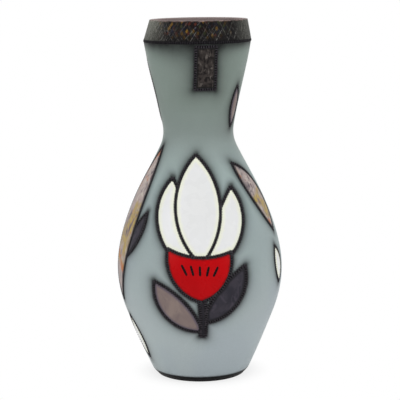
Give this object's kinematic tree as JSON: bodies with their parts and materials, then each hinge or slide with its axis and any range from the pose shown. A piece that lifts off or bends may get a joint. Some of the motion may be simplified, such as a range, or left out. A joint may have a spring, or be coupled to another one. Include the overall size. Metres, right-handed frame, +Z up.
{
  "type": "ornamented ceramic vase",
  "caption": "Tall waisted ceramic vase with a dark textured collar, a hanging tab and inlaid bloom and leaf ornaments between raised stitched lines.",
  "frame": {"origin": "centre of the foot, in the plane that the vase stands on", "axes": "+Z up the vase's axis to the lip, -Y out of the side with the bloom, +X to the viewer's right of it"},
  "size_m": [0.1392, 0.1403, 0.3],
  "materials": {
    "body_glaze": "satin",
    "foot_slip": "satin",
    "collar_slip": "satin, combed",
    "line_slip": "satin, rouletted",
    "white_glaze": "satin gloss",
    "red_glaze": "gloss",
    "taupe_glaze": "satin gloss",
    "ochre_slip": "satin, brushed",
    "charcoal_slip": "satin",
    "tab_slip": "satin, mottled"
  },
  "bodies": {
    "root": {"belly_wall": "body_glaze", "neck_wall": "body_glaze", "foot_slab": "foot_slip", "rim_collar": "collar_slip", "collar_line": "line_slip", "bloom_line": "line_slip", "calyx_marks": "line_slip", "left_leaf_line": "line_slip", "right_leaf_line": "line_slip", "right_bud_line": "line_slip", "left_bud_line": "line_slip", "back_line": "line_slip", "tab_line": "line_slip", "neck_bud_line": "line_slip", "neck_leaf_line": "line_slip", "centre_petal": "white_glaze", "left_petal": "white_glaze", "right_petal": "white_glaze", "right_bud": "white_glaze", "left_bud": "white_glaze", "pod": "white_glaze", "calyx": "red_glaze", "pod_seed": "red_glaze", "left_frond": "taupe_glaze", "back_left_frond": "taupe_glaze", "neck_bud": "taupe_glaze", "neck_leaf": "taupe_glaze", "left_leaf": "ochre_slip", "right_leaf": "ochre_slip", "back_right_frond": "ochre_slip", "stem": "charcoal_slip", "right_frond": "charcoal_slip", "left_leaflet": "charcoal_slip", "tab": "tab_slip"}
  },
  "joints": []
}
